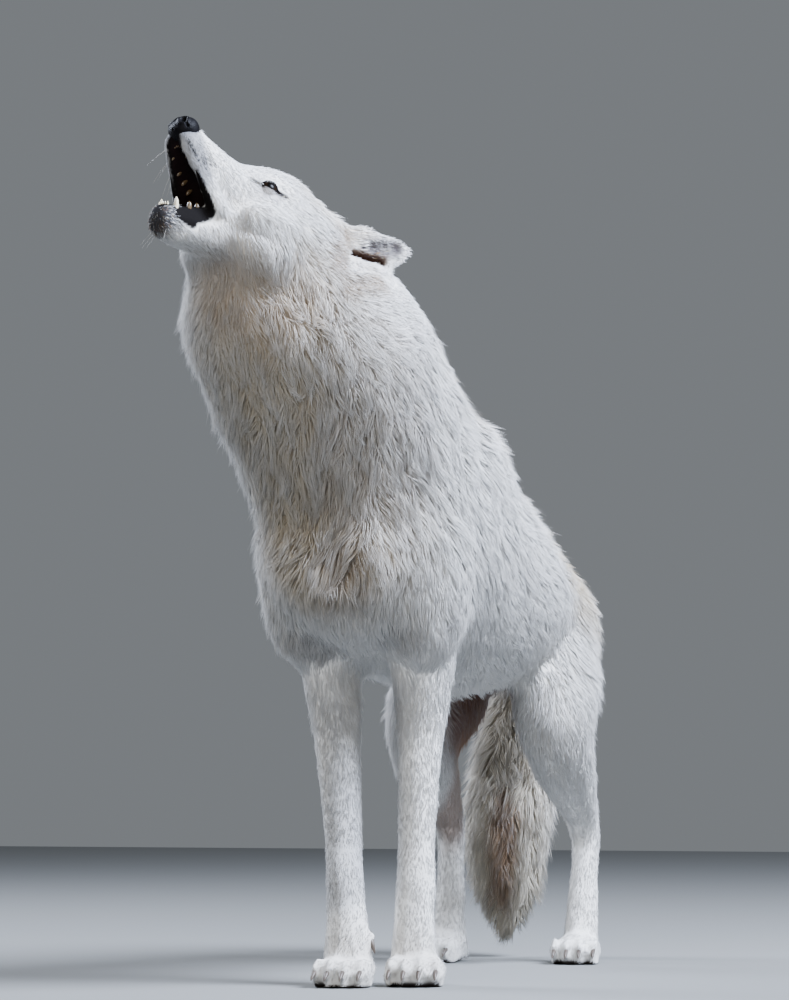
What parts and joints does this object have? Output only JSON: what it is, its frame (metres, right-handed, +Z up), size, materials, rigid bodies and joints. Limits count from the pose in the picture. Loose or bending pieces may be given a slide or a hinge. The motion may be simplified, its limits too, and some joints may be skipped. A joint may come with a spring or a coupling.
{
  "type": "howling arctic wolf model",
  "caption": "Life-size still model of a standing arctic wolf that howls with its head raised, parted into head, jaw, ears, eyes, nose, tongue, neck, trunk, tail, legs and paws",
  "frame": {"origin": "middle of the underside of the bounding box, on the floor", "axes": "+Z up, the wolf's body faces -Y, its left side is +X; the raised head turns to its right, towards -X"},
  "size_m": [0.3582, 1.2494, 1.1087],
  "materials": {
    "coat": "long dense white fur",
    "nose_leather": "moist black pebbled skin",
    "tongue": "moist",
    "eye": "polished"
  },
  "bodies": {
    "root": {"head": "coat", "lower_jaw": "coat", "nose": "nose_leather", "tongue": "tongue", "eye_left": "eye", "eye_right": "eye", "ear_left": "coat", "ear_right": "coat", "neck": "coat", "chest": "coat", "barrel": "coat", "hindquarters": "coat", "tail": "coat", "foreleg_left": "coat", "foreleg_right": "coat", "forepaw_left": "coat", "forepaw_right": "coat", "hindleg_left": "coat", "hindleg_right": "coat", "hindpaw_left": "coat", "hindpaw_right": "coat"}
  },
  "joints": []
}
